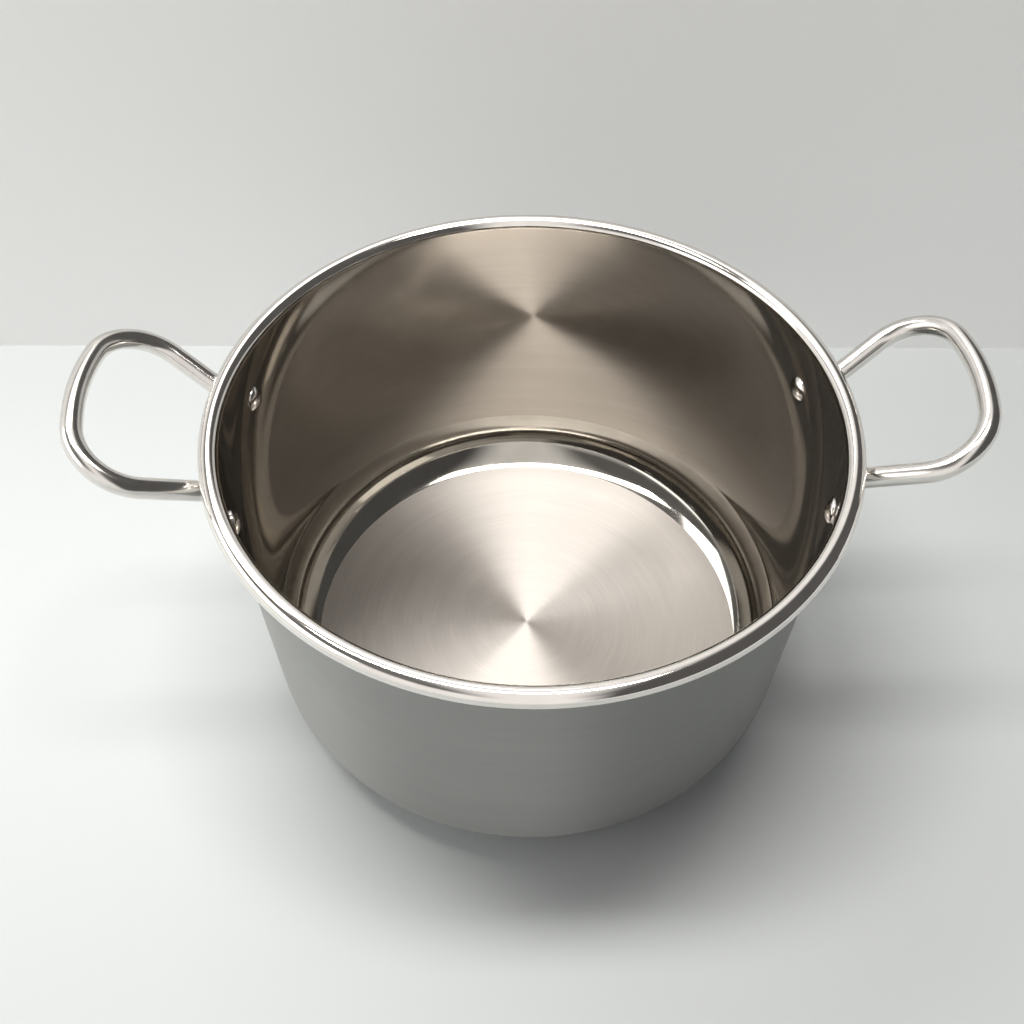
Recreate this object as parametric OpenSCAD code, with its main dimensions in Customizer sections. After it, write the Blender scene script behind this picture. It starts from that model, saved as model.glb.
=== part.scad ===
// Two-handled stainless cooking pot: a drawn shell with a rolled rim, an encapsulated
// sandwich base and two riveted loop handles. Millimetres, +Z up, origin on the floor
// under the centre of the base, handles along X.

/* [Shell] */
// Inside diameter at the foot of the wall
inner_d = 280; // [240:1:320]
// Inside depth from the base to the top of the rim
inner_depth = 176.5; // [140:0.5:220]
// Sheet thickness of the shell
wall_t = 0.8; // [0.6:0.1:1.2]
// Inside radius where the wall turns into the base
corner_r = 30; // [18:1:36]

/* [Rim] */
// How far the rolled rim stands out past the outside of the foot of the wall
rim_overhang = 11.4; // [9.5:0.1:13]
// Diameter of the rolled bead
bead_d = 9.2; // [7.6:0.2:9.6]
// How far the curl is rolled past the underside of the bead
curl_past = 35; // [0:5:50]

/* [Base] */
// How far the aluminium heat-spreading disc stops short of the rounded corner
core_margin = 0.5; // [0:0.5:20]
// Thickness of the heat-spreading disc
core_t = 5; // [3:0.5:8]
// Thickness of the steel cap around the disc
cap_t = 0.6; // [0.4:0.1:1]
// Rounding of the disc's lower edge
core_edge_r = 2.5; // [1:0.5:3]

/* [Handles] */
// Diameter of the handle bar
bar_d = 9.6; // [8:0.2:11]
// Distance between the two legs where they leave the wall
leg_gap = 57; // [48:1:66]
// Angle by which each leg spreads outward
leg_spread = 21; // [10:1:25]
// Angle by which the loop rises from the level
loop_tilt = 33.5; // [20:0.5:38]
// Reach of the loop from the wall, along its slope
loop_reach = 72.6; // [64:0.2:84]
// Radius of the two corners of the loop, at the middle of the bar
loop_corner_r = 25.4; // [18:0.2:30]
// Radius of the bowed grip, at the middle of the bar
grip_r = 115; // [90:1:200]
// Radial swell of the bar in its tight bends
bend_swell = 0.1; // [0.05:0.05:0.3]
// Drop from the top of the rim to the middle of the legs at the wall
leg_drop = 21; // [20:0.5:30]

/* [Feet and rivets] */
// Distance between the two rivets of a handle, across the loop
rivet_gap = 80; // [70:1:96]
// Drop from the top of the rim to the rivets
rivet_drop = 29; // [26:0.5:40]
// Thickness of the flattened foot
foot_t = 4.2; // [3:0.2:5]
// Width of the flattened foot
foot_w = 15; // [13:0.5:17]
// Diameter of the rivet shank
shank_d = 6; // [5:0.2:7]
// Diameter of the domed rivet head inside the pot
head_d = 13; // [11:0.5:14]
// Height of the domed rivet head
head_h = 3; // [2:0.2:4]
// Diameter of the closed rivet tail on the foot
tail_d = 10; // [9:0.5:11]
// Height of the closed rivet tail
tail_h = 2.2; // [1.4:0.2:3]
// Radial clearance of a rivet shank in its hole
shank_clear = 0.05; // [0.02:0.01:0.2]

/* [Hidden] */
$fn = 96;
// Largest turn between two points of an arc
arc_step = 7.5;

steel = [0.79, 0.78, 0.76];
bright_steel = [0.86, 0.85, 0.83];
aluminium = [0.70, 0.71, 0.73];

// Shell and base levels
inner_r = inner_d / 2;
flat_r = inner_r - corner_r;
core_r = flat_r - core_margin;
cap_r = core_r + cap_t;
core_top = cap_t + core_t;
base_z = core_top + wall_t;
rim_z = base_z + inner_depth;
rim_r = inner_r + wall_t + rim_overhang;

// The wall leans out a little, on the line that touches the corner's arc and the bead
turn_mid = [flat_r, base_z + corner_r];
bead_r = bead_d / 2;
bead_mid = [rim_r - bead_r, rim_z - bead_r];
wall_run = bead_mid - turn_mid;
wall_lean = acos((bead_r + corner_r) / norm(wall_run)) - atan2(wall_run[1], wall_run[0]);

// Radius of a face of the wall at a height, out is its distance from the inner face
function face_r(z, out) =
    flat_r + (corner_r + out) / cos(wall_lean) + (z - turn_mid[1]) * tan(wall_lean);

// Outside of the wall at the rivets
rivet_z = rim_z - rivet_drop;
wall_r = face_r(rivet_z, wall_t);

// Loop handle: its plane meets the level through the legs at loop_x
loop_x = inner_r + wall_t;
leg_z = rim_z - leg_drop;
bar_r = bar_d / 2;
leg_dir = [cos(leg_spread), sin(leg_spread)];
leg_side = [sin(leg_spread), -cos(leg_spread)];
leg_start = [0, leg_gap / 2];
grip_mid = [loop_reach - grip_r, 0];
// The corner circle touches the leg and lies inside the grip circle
corner_base = leg_start + loop_corner_r * leg_side - grip_mid;
corner_along = corner_base * leg_dir;
corner_gap = corner_base * corner_base - pow(grip_r - loop_corner_r, 2);
leg_len = -corner_along + sqrt(pow(corner_along, 2) - corner_gap);
corner_mid = leg_start + leg_len * leg_dir + loop_corner_r * leg_side;
grip_end = atan2(corner_mid[1] - grip_mid[1], corner_mid[0] - grip_mid[0]);
corner_turn = 90 + leg_spread - grip_end;
// The straight leg and the grip run this share of the way to where they would show through a bend
lap_share = 0.7;
bend_lap = lap_share * sqrt(2 * loop_corner_r * bend_swell);
grip_lap = bend_lap / grip_r * 180 / PI;

// Feet and rivets, seen from the pot's axis
foot_r = wall_r + foot_t;
rivet_turn = asin(rivet_gap / 2 / wall_r);
hole_r = shank_d / 2 + shank_clear;
hole_len = 4 * foot_t;
head_ball_r = (pow(head_d / 2, 2) + pow(head_h, 2)) / (2 * head_h);
tail_ball_r = (pow(tail_d / 2, 2) + pow(tail_h, 2)) / (2 * tail_h);
// Where the middle of a leg reaches the middle of the foot's thickness
leg_slope = [leg_dir[0] * cos(loop_tilt), leg_dir[1], leg_dir[0] * sin(loop_tilt)];
land_r = wall_r + foot_t / 2;
land_a = pow(leg_slope[0], 2) + pow(leg_slope[1], 2);
land_b = loop_x * leg_slope[0] + leg_start[1] * leg_slope[1];
land_c = pow(loop_x, 2) + pow(leg_start[1], 2) - pow(land_r, 2);
land_s = (-land_b + sqrt(pow(land_b, 2) - land_a * land_c)) / land_a;
land = [loop_x, leg_start[1], leg_z] + land_s * leg_slope;
// The landing seen square on from the rivet: along the wall, and up
foot_run = [land[1] * cos(rivet_turn) - land[0] * sin(rivet_turn), land[2] - rivet_z];
foot_len = norm(foot_run);
foot_dir = atan2(foot_run[1], foot_run[0]);

// Points of an arc in the plane, from one angle to another, without its first point
function arc(mid, r, from, to) =
    let (steps = ceil(abs(to - from) / arc_step))
    [for (k = [1:steps]) let (a = from + (to - from) * k / steps) mid + r * [cos(a), sin(a)]];

// The same arc with its first point
function bend(mid, r, from, to) =
    concat([mid + r * [cos(from), sin(from)]], arc(mid, r, from, to));

// Inner face from the axis to the rim, round the curl, and back down the outer face
module shell_profile() {
    bead_start = 180 - wall_lean;
    curl_end = -90 - curl_past;
    polygon(concat(
        [[0, base_z], [flat_r, base_z]],
        arc(turn_mid, corner_r, -90, -wall_lean),
        bend(bead_mid, bead_r, bead_start, curl_end),
        bend(bead_mid, bead_r - wall_t, curl_end, bead_start),
        bend(turn_mid, corner_r + wall_t, -wall_lean, -90),
        [[0, core_top]]
    ));
}

// All that lies inside a face of the wall
module wall_room(out) {
    cylinder(r1 = face_r(0, out), r2 = face_r(rim_z, out), h = rim_z);
}

// A hole or pin along the radius through a rivet's centre
module at_rivet(turn) {
    rotate([0, 0, turn])
        translate([wall_r, 0, rivet_z])
            rotate([0, 90, 0])
                children();
}

module rivet_hole(turn) {
    at_rivet(turn)
        cylinder(r = hole_r, h = hole_len, center = true);
}

module pot_shell() {
    color(steel)
        difference() {
            rotate_extrude()
                shell_profile();
            for (side = [0, 180], turn = [-rivet_turn, rivet_turn])
                rivet_hole(side + turn);
        }
}

// Half section of a disc with its lower edge rounded, from the level low to the level high
function disc_side(r, edge, low, high) =
    concat([[r - edge, low]], arc([r - edge, low + edge], edge, -90, 0), [[r, high]]);

function reversed(points) = [for (k = [len(points) - 1:-1:0]) points[k]];

module heat_core() {
    side = disc_side(core_r, core_edge_r, cap_t, core_top);
    color(aluminium)
        rotate_extrude()
            polygon(concat([[0, cap_t]], side, [[0, core_top]]));
}

// Cup round the disc, closed against the shell
module base_cap() {
    outside = disc_side(cap_r, core_edge_r + cap_t, 0, core_top);
    inside = disc_side(core_r, core_edge_r, cap_t, core_top);
    color(steel)
        rotate_extrude()
            polygon(concat([[0, 0]], outside, reversed(inside), [[0, cap_t]]));
}

// Bent stretch of bar from one angle to another about the middle of the bend
module bar_bend(mid, bend_r, section_r, from, turn) {
    translate([mid[0], mid[1], 0])
        rotate([0, 0, from])
            rotate_extrude(angle = turn)
                translate([bend_r, 0])
                    circle(r = section_r);
}

// One leg and its corner, lying flat, with the leg run on into the wall and into the corner
module loop_half() {
    translate([leg_start[0], leg_start[1], 0])
        rotate([0, 0, leg_spread])
            translate([-bar_d, 0, 0])
                rotate([0, 90, 0])
                    cylinder(r = bar_r, h = bar_d + leg_len + bend_lap);
    bar_bend(corner_mid, loop_corner_r, bar_r + bend_swell, grip_end, corner_turn);
}

module loop() {
    translate([loop_x, 0, leg_z])
        rotate([0, -loop_tilt, 0]) {
            loop_half();
            mirror([0, 1, 0])
                loop_half();
            bar_bend(grip_mid, grip_r, bar_r, -grip_end - grip_lap, 2 * (grip_end + grip_lap));
        }
}

// Flattened end of a leg: a round-ended plate on the wall, from the leg to the rivet
module foot() {
    rotate([0, 0, rivet_turn])
        intersection() {
            cylinder(r = foot_r, h = rim_z);
            translate([wall_r - foot_w, 0, rivet_z])
                rotate([90, 0, 90])
                    linear_extrude(height = 2 * foot_w)
                        rotate(foot_dir)
                            union() {
                                circle(d = foot_w);
                                translate([0, -foot_w / 2])
                                    square([foot_len, foot_w]);
                                translate([foot_len, 0])
                                    circle(d = foot_w);
                            }
        }
}

module handle() {
    color(bright_steel)
        difference() {
            union() {
                loop();
                foot();
                mirror([0, 1, 0])
                    foot();
            }
            wall_room(wall_t);
            for (turn = [-rivet_turn, rivet_turn])
                rivet_hole(turn);
        }
}

module handle_right() {
    handle();
}

module handle_left() {
    rotate([0, 0, 180])
        handle();
}

// Domed head on the inside of the wall, shank, and closed tail on the foot
module rivet(turn) {
    color(bright_steel)
        union() {
            intersection() {
                at_rivet(turn)
                    translate([0, 0, head_ball_r - head_h - wall_t])
                        sphere(r = head_ball_r);
                wall_room(0);
            }
            at_rivet(turn)
                translate([0, 0, -wall_t - head_h / 2])
                    cylinder(d = shank_d, h = head_h / 2 + wall_t + foot_t + tail_h / 2);
            difference() {
                at_rivet(turn)
                    translate([0, 0, foot_t + tail_h - tail_ball_r])
                        sphere(r = tail_ball_r);
                cylinder(r = foot_r, h = rim_z);
            }
        }
}

module rivet_right_front() {
    rivet(-rivet_turn);
}

module rivet_right_rear() {
    rivet(rivet_turn);
}

module rivet_left_front() {
    rivet(180 + rivet_turn);
}

module rivet_left_rear() {
    rivet(180 - rivet_turn);
}

pot_shell();
heat_core();
base_cap();
handle_left();
handle_right();
rivet_left_front();
rivet_left_rear();
rivet_right_front();
rivet_right_rear();
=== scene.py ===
import math

import bpy
from mathutils import Matrix, Vector


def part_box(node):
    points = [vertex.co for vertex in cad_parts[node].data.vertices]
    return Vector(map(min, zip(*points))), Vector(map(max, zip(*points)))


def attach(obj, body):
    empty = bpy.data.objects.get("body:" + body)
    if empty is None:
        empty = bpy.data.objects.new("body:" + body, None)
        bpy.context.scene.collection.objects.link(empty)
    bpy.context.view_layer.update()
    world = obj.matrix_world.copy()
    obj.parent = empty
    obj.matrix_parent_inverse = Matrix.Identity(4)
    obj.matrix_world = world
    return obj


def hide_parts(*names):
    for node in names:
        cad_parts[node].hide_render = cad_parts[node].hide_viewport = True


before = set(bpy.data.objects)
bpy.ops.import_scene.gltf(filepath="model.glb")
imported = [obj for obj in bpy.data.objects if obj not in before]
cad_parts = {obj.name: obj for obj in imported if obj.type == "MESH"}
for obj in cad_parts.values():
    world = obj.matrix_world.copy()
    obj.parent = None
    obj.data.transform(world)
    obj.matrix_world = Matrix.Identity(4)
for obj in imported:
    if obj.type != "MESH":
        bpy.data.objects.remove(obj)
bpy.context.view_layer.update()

# Sizes of the solids, in metres and degrees
INNER_R = 0.140
WALL_T = 0.0008
CORNER_R = 0.030
BEAD_R = 0.0046
CURL_END = -125.0
CAP_T = 0.0006
CAP_EDGE_R = 0.0031
BAR_R = 0.0048
LEG_GAP = 0.057
LEG_SPREAD = 21.0
LOOP_TILT = 33.5
LOOP_REACH = 0.0726
LOOP_CORNER_R = 0.0254
GRIP_R = 0.115
LEG_DROP = 0.021
RIVET_GAP = 0.080
RIVET_DROP = 0.029
FOOT_T = 0.0042
FOOT_W = 0.015
SHANK_R = 0.003
HEAD_R = 0.0065
HEAD_H = 0.003
TAIL_R = 0.005
TAIL_H = 0.0022

# Levels and radii that the frame gives
shell_low, shell_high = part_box("pot_shell")
RIM_Z = shell_high.z
RIM_R = shell_high.x
CORE_TOP = shell_low.z
CAP_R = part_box("base_cap")[1].x

BASE_Z = CORE_TOP + WALL_T
FLAT_R = INNER_R - CORNER_R
# The wall leans out a little, on the line that touches the corner's arc and the bead
TURN_MID = (FLAT_R, BASE_Z + CORNER_R)
BEAD_MID = (RIM_R - BEAD_R, RIM_Z - BEAD_R)
wall_run = Vector(BEAD_MID) - Vector(TURN_MID)
WALL_LEAN = math.acos((BEAD_R + CORNER_R) / wall_run.length) - math.atan2(wall_run.y, wall_run.x)


def face_r(z, out):
    """Radius of a face of the wall at a height; out is its distance from the inner face."""
    return FLAT_R + (CORNER_R + out) / math.cos(WALL_LEAN) + (z - TURN_MID[1]) * math.tan(WALL_LEAN)


LEG_Z = RIM_Z - LEG_DROP
RIVET_Z = RIM_Z - RIVET_DROP
WALL_R = face_r(RIVET_Z, WALL_T)
LOOP_X = INNER_R + WALL_T
RIVET_TURN = math.asin(RIVET_GAP / 2 / WALL_R)

# The spin-brushed finish of the base runs this many degrees up the rounded corner
BRUSH_TURN = 19.5
# The foot of a handle lies flat up to this share of its length, and the bend ends this far up the leg
BEND_FOOT = 0.45
BEND_LEG = 0.012
# How much the thickness faces along the leg half way round the bend
BEND_FACE = 0.4
# Squareness of a section: 2 is round, 4 a box with well rounded edges
ROUND, BOXY = 2.0, 4.0
# The undersides of a rivet's head and tail are a little smaller, and this deep in the sheet
UNDERSIDE = 0.97
SEAT = 0.0003

# Finish of the meshes: sides of round forms, degrees and steps of arcs and lines
TURNS = 192
RIVET_TURNS = 48
BAR_SIDES = 48
ARC_STEP = 3.0
CURL_STEP = 6
CURL_INSIDE_STEP = 10
CAP_STEP = 6
CAP_INSIDE_STEP = 9
GRIP_STEP = 1
WALL_STEPS = 12
LEG_STEPS = 12
BEND_STEPS = 16
DOME_STEPS = 10
SAME_POINT = 1e-7


def arc(mid, r, start, end, step=ARC_STEP):
    """Points of an arc in a plane, from one angle to another in degrees, both ends included."""
    count = max(1, math.ceil(abs(end - start) / step))
    turns = [math.radians(start + (end - start) * k / count) for k in range(count + 1)]
    return [(mid[0] + r * math.cos(a), mid[1] + r * math.sin(a)) for a in turns]


def line(start, end, count):
    """Evenly spaced points from start to end, both included."""
    return [tuple(s + (e - s) * k / count for s, e in zip(start, end)) for k in range(count + 1)]


def new_piece(name, points, faces, face_slots, materials):
    """A smooth mesh object on the pot's body."""
    mesh = bpy.data.meshes.new(name)
    mesh.from_pydata(points, [], faces)
    for material in materials:
        mesh.materials.append(material)
    mesh.polygons.foreach_set("material_index", face_slots)
    mesh.polygons.foreach_set("use_smooth", [True] * len(faces))
    mesh.validate()
    mesh.update()
    piece = bpy.data.objects.new(name, mesh)
    bpy.context.scene.collection.objects.link(piece)
    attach(piece, "root")
    return piece


def revolve(name, zones, materials, turns=TURNS, place=None):
    """Turns a profile round the Z axis. zones is a list of (material number, points as (radius, height)),
    each starting where the one before ends, and the profile starts and ends on the axis."""
    profile, slots = [zones[0][1][0]], []
    for slot, points in zones:
        for p in points:
            if math.dist(p, profile[-1]) > SAME_POINT:
                profile.append(p)
                slots.append(slot)
    rings, points = [], []
    for r, z in profile:
        if r < SAME_POINT:
            rings.append([len(points)])
            points.append(Vector((0, 0, z)))
        else:
            rings.append(list(range(len(points), len(points) + turns)))
            for k in range(turns):
                a = 2 * math.pi * k / turns
                points.append(Vector((r * math.cos(a), r * math.sin(a), z)))
    faces, face_slots = [], []
    for low, high, slot in zip(rings, rings[1:], slots):
        for k in range(turns):
            n = (k + 1) % turns
            if len(low) == 1:
                face = (low[0], high[k], high[n])
            elif len(high) == 1:
                face = (low[k], high[0], low[n])
            else:
                face = (low[k], high[k], high[n], low[n])
            faces.append(face)
            face_slots.append(slot)
    if place is not None:
        points = [place(p) for p in points]
    return new_piece(name, points, faces, face_slots, materials)


# Shader nodes

# Span that most values of a noise lie in
NOISE_LOW, NOISE_HIGH = 0.3, 0.7
# Brush lines: share of the fine ones, how often they break off in a turn, and how much wider the broad ones are
FINE_SHARE = 0.6
LINE_BREAKS = 1.5
BROAD = 12


def node(tree, kind, inputs=None, **settings):
    """A shader node with its settings and inputs; an input that is a socket is linked."""
    made = tree.nodes.new(kind)
    for key, value in settings.items():
        setattr(made, key, value)
    for key, value in (inputs or {}).items():
        if isinstance(value, bpy.types.NodeSocket):
            tree.links.new(value, made.inputs[key])
        else:
            made.inputs[key].default_value = value
    return made


def math_node(tree, operation, a, b=0.0):
    return node(tree, "ShaderNodeMath", {0: a, 1: b}, operation=operation).outputs[0]


def ramp(tree, value, start, end, low, high, shape="LINEAR"):
    """Takes start to end onto low to high, and stays at low or high outside them."""
    return node(
        tree,
        "ShaderNodeMapRange",
        {"Value": value, "From Min": start, "From Max": end, "To Min": low, "To Max": high},
        interpolation_type=shape,
    ).outputs[0]


def blank_material(name):
    material = bpy.data.materials.new(name)
    material.use_nodes = True
    material.node_tree.nodes.clear()
    return material, material.node_tree


def object_place(tree):
    return node(tree, "ShaderNodeTexCoord").outputs["Object"]


def around_axis(tree):
    """Radius, turn and height of a point about the pot's axis, in metres and radians."""
    x, y, z = node(tree, "ShaderNodeSeparateXYZ", {0: object_place(tree)}).outputs
    square = math_node(tree, "ADD", math_node(tree, "MULTIPLY", x, x), math_node(tree, "MULTIPLY", y, y))
    return math_node(tree, "SQRT", square), math_node(tree, "ARCTAN2", y, x), z


def noise(tree, vector, scale, detail=2.0, roughness=0.5):
    return node(
        tree,
        "ShaderNodeTexNoise",
        {"Vector": vector, "Scale": scale, "Detail": detail, "Roughness": roughness},
    ).outputs["Fac"]


def combine(tree, x, y, z):
    return node(tree, "ShaderNodeCombineXYZ", {0: x, 1: y, 2: z}).outputs[0]


def spread(tree, value, low, high):
    """Maps a noise value onto low to high."""
    return ramp(tree, value, NOISE_LOW, NOISE_HIGH, low, high)


def tint(tree, value, dark, light):
    """Colour between two steels by a noise value."""
    mixed = node(tree, "ShaderNodeMix", {"Factor": spread(tree, value, 0.0, 1.0)}, data_type="RGBA")
    mixed.inputs["A"].default_value = (*dark, 1)
    mixed.inputs["B"].default_value = (*light, 1)
    return mixed.outputs["Result"]


def metal(tree, colour, roughness, height, bump, grain=0.0, tangent=None, haze=0.0):
    """Bare metal with its output. bump is the depth of its relief in metres, grain how much finer it shines
    along its brushing than across, and haze the share of its light that scratches scatter to all sides."""
    shader = node(tree, "ShaderNodeBsdfPrincipled", {"Base Color": colour, "Roughness": roughness})
    shader.inputs["Metallic"].default_value = 1.0 - haze
    lift = node(tree, "ShaderNodeBump", {"Height": height, "Strength": 1.0, "Distance": bump})
    tree.links.new(lift.outputs[0], shader.inputs["Normal"])
    if tangent is not None:
        shader.inputs["Anisotropic"].default_value = grain
        # A quarter turn, so that it spreads across the brush lines
        shader.inputs["Anisotropic Rotation"].default_value = 0.25
        tree.links.new(tangent, shader.inputs["Tangent"])
    out = node(tree, "ShaderNodeOutputMaterial")
    tree.links.new(shader.outputs[0], out.inputs["Surface"])


def turned_steel(name, flat, dark, light, rough, grain, lines, bump, haze=0.0):
    """Steel brushed round the pot's axis: rings on a flat face, level lines on a wall.
    lines is how many brush lines there are to the metre."""
    material, tree = blank_material(name)
    radius, turn, height = around_axis(tree)
    across = radius if flat else height
    along = math_node(tree, "MULTIPLY", turn, LINE_BREAKS)
    fine_place = combine(tree, math_node(tree, "MULTIPLY", across, lines), along, 0.0)
    broad_place = combine(tree, math_node(tree, "MULTIPLY", across, lines / BROAD), turn, 3.0)
    fine = noise(tree, fine_place, 1.0, 3.0, 0.6)
    broad = noise(tree, broad_place, 1.0)
    mixed = math_node(
        tree,
        "ADD",
        math_node(tree, "MULTIPLY", fine, FINE_SHARE),
        math_node(tree, "MULTIPLY", broad, 1 - FINE_SHARE),
    )
    tangent = node(tree, "ShaderNodeTangent", direction_type="RADIAL", axis="Z").outputs[0]
    metal(tree, tint(tree, mixed, dark, light), spread(tree, mixed, *rough), fine, bump, grain, tangent, haze)
    return material


def polished_metal(name, dark, light, rough, cloud, waves, bump):
    """Polished metal, slightly clouded and wavy. cloud and waves are noise scales to the metre."""
    material, tree = blank_material(name)
    place = object_place(tree)
    clouds = noise(tree, place, cloud, 4.0)
    metal(tree, tint(tree, clouds, dark, light), spread(tree, clouds, *rough), noise(tree, place, waves), bump)
    return material


# Painted shade: the inside wall's steel is coloured about half as light as the rim's, standing in for the dim
# room that it mirrors.
wall_inside_painted_shade = turned_steel(
    "wall_inside_painted_shade",
    flat=False,
    dark=(0.435, 0.405, 0.365),
    light=(0.485, 0.455, 0.415),
    rough=(0.045, 0.07),
    grain=0.6,
    lines=1400,
    bump=6e-7,
    haze=0.11,
)
base_brushed = turned_steel(
    "base_brushed",
    flat=True,
    dark=(0.77, 0.73, 0.69),
    light=(0.91, 0.865, 0.82),
    rough=(0.53, 0.59),
    grain=1.0,
    lines=1500,
    bump=6e-6,
)
# Painted shade: the rounded corner at the foot of the inside wall is coloured far darker than the rim's steel.
corner_polished_painted_shade = polished_metal(
    "corner_polished_painted_shade",
    dark=(0.46, 0.44, 0.40),
    light=(0.52, 0.50, 0.46),
    rough=(0.05, 0.09),
    cloud=60,
    waves=25,
    bump=1e-5,
)
rim_polished = polished_metal(
    "rim_polished",
    dark=(0.80, 0.77, 0.735),
    light=(0.87, 0.84, 0.805),
    rough=(0.07, 0.11),
    cloud=90,
    waves=40,
    bump=1e-5,
)
# Painted shade: the outside's steel is coloured far darker than the rim's, standing in for the shadowed table and
# dim room that it mirrors.
wall_outside_painted_shade = turned_steel(
    "wall_outside_painted_shade",
    flat=False,
    dark=(0.31, 0.315, 0.305),
    light=(0.345, 0.35, 0.34),
    rough=(0.42, 0.46),
    grain=0.9,
    lines=900,
    bump=1e-6,
)
cap_brushed = turned_steel(
    "cap_brushed",
    flat=True,
    dark=(0.58, 0.57, 0.55),
    light=(0.70, 0.69, 0.67),
    rough=(0.30, 0.42),
    grain=0.85,
    lines=1200,
    bump=8e-6,
)
handle_polished = polished_metal(
    "handle_polished",
    dark=(0.72, 0.695, 0.665),
    light=(0.79, 0.77, 0.74),
    rough=(0.15, 0.20),
    cloud=120,
    waves=60,
    bump=1.5e-5,
)
rivet_polished = polished_metal(
    "rivet_polished",
    dark=(0.70, 0.68, 0.65),
    light=(0.80, 0.78, 0.75),
    rough=(0.09, 0.18),
    cloud=300,
    waves=250,
    bump=2e-5,
)
core_aluminium = polished_metal(
    "core_aluminium",
    dark=(0.68, 0.69, 0.71),
    light=(0.76, 0.77, 0.79),
    rough=(0.35, 0.5),
    cloud=80,
    waves=200,
    bump=2e-5,
)


# The pot

# Radii of the mesh's rings on the flat of the base, inside and underneath, closer at the middle
BASE_RINGS = (0, 0.0015, 0.004, 0.010, 0.025, 0.045, 0.065, 0.085, 0.1, 0.108)
UNDER_BASE_RINGS = (0.09, 0.05, 0)
CAP_RINGS = (0, 0.002, 0.006, 0.015, 0.035, 0.06, 0.085, 0.104)
CAP_INSIDE_RINGS = (0.05, 0)


def wall_line(start, end, out):
    """Points of a face of the wall from one height to another."""
    return line((face_r(start, out), start), (face_r(end, out), end), WALL_STEPS)


def level(rings, z):
    """Points of a flat face at a height."""
    return [(r, z) for r in rings]


def make_shell():
    """The drawn sheet: inner face from the axis to the rim, round the curl, and back down the outer face."""
    lean = math.degrees(WALL_LEAN)
    brush_end = BRUSH_TURN - 90
    base, corner, inside, rim, outside = range(5)
    zones = [
        (base, level(BASE_RINGS, BASE_Z) + arc(TURN_MID, CORNER_R, -90, brush_end)),
        (corner, arc(TURN_MID, CORNER_R, brush_end, -lean)),
        (inside, wall_line(TURN_MID[1], BEAD_MID[1], 0.0)),
        (rim, arc(BEAD_MID, BEAD_R, 180 - lean, CURL_END, CURL_STEP)),
        (rim, arc(BEAD_MID, BEAD_R - WALL_T, CURL_END, 180 - lean, CURL_INSIDE_STEP)),
        (outside, wall_line(BEAD_MID[1], TURN_MID[1], WALL_T)),
        (outside, arc(TURN_MID, CORNER_R + WALL_T, -lean, -90)),
        (outside, level(UNDER_BASE_RINGS, CORE_TOP)),
    ]
    materials = [base_brushed, corner_polished_painted_shade, wall_inside_painted_shade, rim_polished, wall_outside_painted_shade]
    shell = revolve("shell", zones, materials)
    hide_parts("pot_shell")


def make_cap():
    """The steel cup under the base, round the heat-spreading disc."""
    edge_mid = (CAP_R - CAP_EDGE_R, CAP_EDGE_R)
    outer_edge = arc(edge_mid, CAP_EDGE_R, -90, 0, CAP_STEP)
    inner_edge = arc(edge_mid, CAP_EDGE_R - CAP_T, 0, -90, CAP_INSIDE_STEP)
    outer = level(CAP_RINGS, 0.0) + outer_edge + [(CAP_R, CORE_TOP)]
    inner = [(CAP_R - CAP_T, CORE_TOP)] + inner_edge + level(CAP_INSIDE_RINGS, CAP_T)
    cap = revolve("cap", [(0, outer), (0, inner)], [cap_brushed])
    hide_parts("base_cap")


def loop_point(u, v):
    """Point in the plane of the right handle's loop: u up its slope from the wall, v to the rear."""
    tilt = math.radians(LOOP_TILT)
    return Vector((LOOP_X + u * math.cos(tilt), v, LEG_Z + u * math.sin(tilt)))


def on_wall(turn, z, lift):
    """Point at a height over the outside of the wall."""
    r = WALL_R + lift
    return Vector((r * math.cos(turn), r * math.sin(turn), z))


def radial(p):
    """The way straight out from the pot's axis at a point."""
    return Vector((p.x, p.y, 0)).normalized()


def smooth(share):
    """0 to 1 with a soft start and end."""
    share = min(1.0, max(0.0, share))
    return share * share * (3 - 2 * share)


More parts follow.
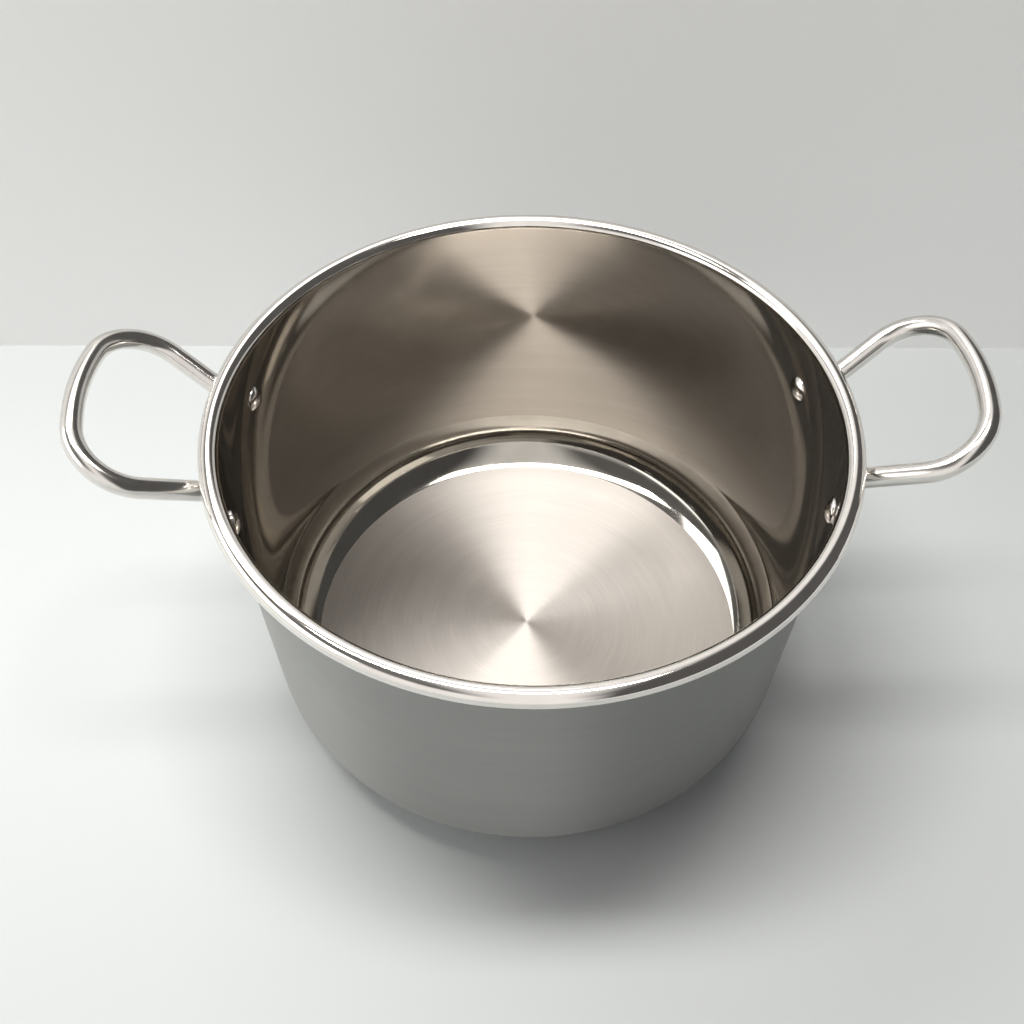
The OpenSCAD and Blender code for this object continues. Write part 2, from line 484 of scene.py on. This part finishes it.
def half_handle():
    """Stations of the rear half of the right handle, from the tip of its foot to the middle of the grip.
    Each is (point, side that the thickness faces, half width, half thickness, squareness)."""
    # In the plane of the loop: the leg, the rounded corner that touches it, and the grip's wide arc
    spread_turn = math.radians(LEG_SPREAD)
    leg_dir = Vector((math.cos(spread_turn), math.sin(spread_turn)))
    leg_side = Vector((math.sin(spread_turn), -math.cos(spread_turn)))
    leg_start = Vector((0, LEG_GAP / 2))
    grip_mid = Vector((LOOP_REACH - GRIP_R, 0))
    base = leg_start + LOOP_CORNER_R * leg_side - grip_mid
    along = base.dot(leg_dir)
    gap = base.dot(base) - (GRIP_R - LOOP_CORNER_R) ** 2
    leg_len = -along + math.sqrt(along**2 - gap)
    corner_mid = leg_start + leg_len * leg_dir + LOOP_CORNER_R * leg_side
    grip_end = math.degrees(math.atan2(corner_mid.y, corner_mid.x - grip_mid.x))

    # Where the leg lands on the wall, and the way from there along the foot
    foot_mid = FOOT_T / 2
    foot_r = WALL_R + foot_mid
    outward = (loop_point(*leg_dir) - loop_point(0, 0)).normalized()
    land = loop_point(*leg_start)
    for _ in range(20):
        land = land - outward * (Vector((land.x, land.y)).length - foot_r)
    land_turn = math.atan2(land.y, land.x)
    run = Vector(((RIVET_TURN - land_turn) * foot_r, RIVET_Z - land.z))
    foot_len = run.length
    step = run / foot_len

    def foot_point(s):
        return on_wall(land_turn + s * step.x / foot_r, land.z + s * step.y, foot_mid)

    # The round tip of the foot, from its end to the rivet
    stations = []
    for lag in (*range(84, 4, -10), 0):
        past = math.sin(math.radians(lag))
        p = foot_point(foot_len + FOOT_W / 2 * past)
        width = FOOT_W / 2 * math.sqrt(1 - past**2)
        stations.append((p, radial(p), width, foot_mid * (1 - past**BOXY) ** (1 / BOXY), BOXY))
    # Its flat length
    for s in (0.9, 0.8, 0.7, 0.6, 0.52):
        p = foot_point(s * foot_len)
        stations.append((p, radial(p), FOOT_W / 2, foot_mid, BOXY))
    # The bend, where the flat foot becomes a round bar
    a, b, c = foot_point(BEND_FOOT * foot_len), land, land + outward * BEND_LEG
    inside = (a - b).normalized()
    for k in range(BEND_STEPS + 1):
        t = k / BEND_STEPS
        p = a * (1 - t) ** 2 + b * 2 * t * (1 - t) + c * t**2
        flat = 1 - smooth(t)
        facing = radial(p) * flat + inside * (1 - flat) + outward * BEND_FACE * flat * (1 - flat)
        width = BAR_R + (FOOT_W / 2 - BAR_R) * flat
        thickness = BAR_R + (foot_mid - BAR_R) * flat
        stations.append((p, facing.normalized(), width, thickness, ROUND + (BOXY - ROUND) * flat))
    # The leg, the corner and half the grip
    tilt = math.radians(LOOP_TILT)
    under = Vector((math.sin(tilt), 0, -math.cos(tilt)))
    first = (c - loop_point(*leg_start)).dot(outward)
    for k in range(1, LEG_STEPS + 1):
        share = k / LEG_STEPS
        p = loop_point(*(leg_start + leg_dir * (first + (leg_len - first) * share)))
        facing = inside.lerp(under, smooth(share)).normalized()
        stations.append((p, facing, BAR_R, BAR_R, ROUND))
    bends = arc(corner_mid, LOOP_CORNER_R, 90 + LEG_SPREAD, grip_end)[1:]
    bends += arc(grip_mid, GRIP_R, grip_end, 0, GRIP_STEP)[1:]
    for u, v in bends:
        stations.append((loop_point(u, v), under, BAR_R, BAR_R, ROUND))
    return stations


def mirrored(v):
    return Vector((v.x, -v.y, v.z))


def make_handle(name, node_name, turn):
    """A loop of round bar whose ends are flattened into feet on the wall."""
    rear = half_handle()
    front = [(mirrored(p), mirrored(n), *rest) for p, n, *rest in reversed(rear[:-1])]
    stations = rear + front
    spin = Matrix.Rotation(turn, 3, "Z")
    points, faces = [], []
    for i, (p, facing, half_w, half_t, square) in enumerate(stations):
        before = stations[max(0, i - 1)][0]
        after = stations[min(len(stations) - 1, i + 1)][0]
        ahead = (after - before).normalized()
        thick = (facing - ahead * facing.dot(ahead)).normalized()
        wide = ahead.cross(thick)
        for k in range(BAR_SIDES):
            a = 2 * math.pi * k / BAR_SIDES
            c, s = math.cos(a), math.sin(a)
            w = half_w * math.copysign(abs(c) ** (2 / square), c)
            t = half_t * math.copysign(abs(s) ** (2 / square), s)
            q = p + wide * w + thick * t
            # Nothing goes into the wall
            r, wall_r = Vector((q.x, q.y)).length, face_r(min(q.z, RIM_Z), WALL_T)
            if r < wall_r:
                q.x, q.y = q.x * wall_r / r, q.y * wall_r / r
            points.append(spin @ q)
    rings = len(stations)
    for i in range(rings - 1):
        for k in range(BAR_SIDES):
            n = (k + 1) % BAR_SIDES
            low, high = i * BAR_SIDES, (i + 1) * BAR_SIDES
            faces.append((low + k, high + k, high + n, low + n))
    faces.append(tuple(range(BAR_SIDES)))
    faces.append(tuple(reversed(range((rings - 1) * BAR_SIDES, rings * BAR_SIDES))))
    handle = new_piece(name, points, faces, [0] * len(faces), [handle_polished])
    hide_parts(node_name)


def dome(radius, rise, base, way):
    """Profile of a dome over a base level, from its top to its edge; way is 1 for up and -1 for down."""
    ball = (radius**2 + rise**2) / (2 * rise)
    reach = math.degrees(math.asin(radius / ball))
    edge = arc((0, 0), ball, 90, 90 - reach, reach / DOME_STEPS)
    return [(max(0.0, r), base + way * (z - (ball - rise))) for r, z in edge]


def make_rivet(name, node_name, turn):
    """A rivet along the radius: domed head inside the wall, shank, and closed tail on the foot."""
    head_seat, tail_seat = -WALL_T + SEAT, FOOT_T - SEAT
    profile = dome(HEAD_R, HEAD_H, -WALL_T, -1)
    profile += [(HEAD_R * UNDERSIDE, head_seat), (SHANK_R, head_seat)]
    profile += [(SHANK_R, tail_seat), (TAIL_R * UNDERSIDE, tail_seat)]
    profile += reversed(dome(TAIL_R, TAIL_H, FOOT_T, 1))
    spin = Matrix.Rotation(turn, 3, "Z")

    def place(p):
        # Bent to the wall's curve
        along = math.sqrt(WALL_R**2 - p.y**2) + p.z
        return spin @ Vector((along, p.y, RIVET_Z + p.x))

    rivet = revolve(name, [(0, profile)], [rivet_polished], RIVET_TURNS, place)
    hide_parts(node_name)


make_shell()
make_cap()
make_handle("loop_right", "handle_right", 0.0)
make_handle("loop_left", "handle_left", math.pi)
make_rivet("rivet_rf", "rivet_right_front", -RIVET_TURN)
make_rivet("rivet_rr", "rivet_right_rear", RIVET_TURN)
make_rivet("rivet_lf", "rivet_left_front", math.pi + RIVET_TURN)
make_rivet("rivet_lr", "rivet_left_rear", math.pi - RIVET_TURN)
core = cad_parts["heat_core"]
core.data.materials.clear()
core.data.materials.append(core_aluminium)

# Camera, fitted to the photo, in metres, radians and millimetres of lens
CAM_PLACE = Vector((-0.01924, -0.35229, 0.53992))
CAM_PITCH = 0.88578
CAM_YAW = 0.02956
CAM_ROLL = 0.0027
CAM_LENS = 38.18
CAM_SENSOR = 36

# Table and backdrop: their half width, the backdrop's distance and height, and how far under the pot the table is
STAGE_HALF = 3.0
WALL_Y = 0.245
WALL_TOP = 0.3
FLOOR_Z = -0.0002
FLOOR_COLOUR = (0.82, 0.86, 0.87)
WALL_COLOUR = (0.74, 0.74, 0.73)
STAGE_ROUGH = 0.6
# How much paler than lit they look, near the pot and far from it, and where that change starts and ends
GLOW_COLOUR = (0.84, 0.84, 0.83)
FLOOR_GLOW = 0.02
WALL_GLOW = 0.31
FAR_GLOW = 0.75
GLOW_START, GLOW_END = 0.45, 1.5

# Point that the window and the side light point at
AIM = Vector((0, 0, 0.1))
ROOM_COLOUR = (1.0, 0.97, 0.94)
# What the camera sees of the room where there is no backdrop
ROOM_SEEN = 0.9


def make_camera():
    ahead = Vector(
        (math.sin(CAM_YAW) * math.cos(CAM_PITCH), math.cos(CAM_YAW) * math.cos(CAM_PITCH), -math.sin(CAM_PITCH))
    )
    right = Vector((math.cos(CAM_YAW), -math.sin(CAM_YAW), 0))
    up = right.cross(ahead)
    rolled_right = right * math.cos(CAM_ROLL) + up * math.sin(CAM_ROLL)
    rolled_up = up * math.cos(CAM_ROLL) - right * math.sin(CAM_ROLL)
    data = bpy.data.cameras.new("camera")
    data.sensor_width = CAM_SENSOR
    data.lens = CAM_LENS
    camera = bpy.data.objects.new("camera", data)
    axes = Matrix((rolled_right, rolled_up, -ahead)).transposed().to_4x4()
    camera.matrix_world = Matrix.Translation(CAM_PLACE) @ axes
    bpy.context.scene.collection.objects.link(camera)
    bpy.context.scene.camera = camera


def stage_material(name, colour, glow):
    """A plain surface, open to what looks at it from behind. The camera and the metal see it paler than the light
    on it makes it: by glow near the pot, and by FAR_GLOW out of the lamps' reach."""
    material, tree = blank_material(name)
    front = node(tree, "ShaderNodeBsdfPrincipled", {"Base Color": (*colour, 1), "Roughness": STAGE_ROUGH})
    path = node(tree, "ShaderNodeLightPath").outputs
    seen = math_node(tree, "MAXIMUM", path["Is Camera Ray"], path["Is Glossy Ray"])
    seen = math_node(tree, "MAXIMUM", seen, path["Is Transmission Ray"])
    distance = node(tree, "ShaderNodeVectorMath", {0: object_place(tree)}, operation="LENGTH").outputs["Value"]
    strength = math_node(tree, "MULTIPLY", seen, ramp(tree, distance, GLOW_START, GLOW_END, glow, FAR_GLOW))
    pale = node(tree, "ShaderNodeEmission", {"Color": (*GLOW_COLOUR, 1), "Strength": strength})
    lit = node(tree, "ShaderNodeAddShader", {0: front.outputs[0], 1: pale.outputs[0]})
    back = node(tree, "ShaderNodeBsdfTransparent")
    side = node(tree, "ShaderNodeNewGeometry").outputs["Backfacing"]
    mixed = node(tree, "ShaderNodeMixShader", {0: side, 1: lit.outputs[0], 2: back.outputs[0]})
    out = node(tree, "ShaderNodeOutputMaterial")
    tree.links.new(mixed.outputs[0], out.inputs["Surface"])
    return material


def stage_face(name, corners, material):
    mesh = bpy.data.meshes.new(name)
    mesh.from_pydata(corners, [], [(0, 1, 2, 3)])
    mesh.materials.append(material)
    piece = bpy.data.objects.new(name, mesh)
    bpy.context.scene.collection.objects.link(piece)


def make_stage():
    """Pale table, and a low pale wall square to the camera."""
    half = STAGE_HALF
    corners = [(-half, -half, FLOOR_Z), (half, -half, FLOOR_Z), (half, half, FLOOR_Z), (-half, half, FLOOR_Z)]
    stage_face("floor", corners, stage_material("floor", FLOOR_COLOUR, FLOOR_GLOW))
    outline = [(-half, FLOOR_Z), (half, FLOOR_Z), (half, WALL_TOP), (-half, WALL_TOP)]
    turn = Matrix.Rotation(-CAM_YAW, 4, "Z")
    corners = [turn @ Vector((x, WALL_Y, z)) for x, z in outline]
    stage_face("wall", corners, stage_material("wall", WALL_COLOUR, WALL_GLOW))


def area_light(name, place, size, watts, colour, target=None):
    """A soft box that points at a target, or straight down."""
    data = bpy.data.lights.new(name, "AREA")
    data.shape = "RECTANGLE"
    data.size, data.size_y = size
    data.energy = watts
    data.color = colour
    light = bpy.data.objects.new(name, data)
    light.location = place
    if target is not None:
        light.rotation_euler = (target - Vector(place)).to_track_quat("-Z", "Y").to_euler()
    bpy.context.scene.collection.objects.link(light)


def make_lamps():
    """A long lamp overhead, a window at the back left, and a weak broad light from the left."""
    area_light("lamp", (-0.18, 0.06, 1.45), (1.08, 0.22), 14, (1.0, 0.97, 0.93))
    area_light("window", (-0.384, 0.563, 1.088), (0.975, 0.34), 3.6, (1.0, 0.98, 0.95), AIM)
    area_light("side", (-1.14, -0.2, 0.69), (1.2, 0.5), 3.6, (1.0, 0.98, 0.96), AIM)


def make_room():
    """The room around the pot, as the world."""
    world = bpy.data.worlds.new("room")
    world.use_nodes = True
    tree = world.node_tree
    tree.nodes.clear()
    way = node(tree, "ShaderNodeTexCoord").outputs["Generated"]
    x, _, z = node(tree, "ShaderNodeSeparateXYZ", {0: way}).outputs

    def fade(value, start, end, low, high):
        return ramp(tree, value, start, end, low, high, "SMOOTHSTEP")

    # Its light is weak, and weaker from low down and from the right
    light = math_node(tree, "MULTIPLY", fade(z, 0.3, 1.0, 0.07, 0.11), fade(x, 0.3, 0.8, 1.0, 0.3))
    # The metal sees it pale along its middle, and low down all round but on the right
    left, right = fade(x, -0.35, -0.10, 0.18, 1.0), fade(x, 0.10, 0.35, 1.0, 0.10)
    low = math_node(tree, "MULTIPLY", fade(z, 0.45, 0.75, 1.0, 0.0), fade(x, 0.15, 0.40, 1.0, 0.0))
    pale = math_node(tree, "MAXIMUM", math_node(tree, "MINIMUM", left, right), low)
    path = node(tree, "ShaderNodeLightPath").outputs
    shine = math_node(tree, "MAXIMUM", path["Is Glossy Ray"], path["Is Transmission Ray"])
    strength = math_node(tree, "MAXIMUM", light, math_node(tree, "MULTIPLY", shine, pale))
    seen = math_node(tree, "MULTIPLY", path["Is Camera Ray"], ROOM_SEEN)
    strength = math_node(tree, "MAXIMUM", strength, seen)
    glow = node(tree, "ShaderNodeBackground", {"Color": (*ROOM_COLOUR, 1), "Strength": strength})
    out = node(tree, "ShaderNodeOutputWorld")
    tree.links.new(glow.outputs[0], out.inputs["Surface"])
    bpy.context.scene.world = world


make_camera()
make_stage()
make_lamps()
make_room()
bpy.context.scene.view_settings.view_transform = "Standard"
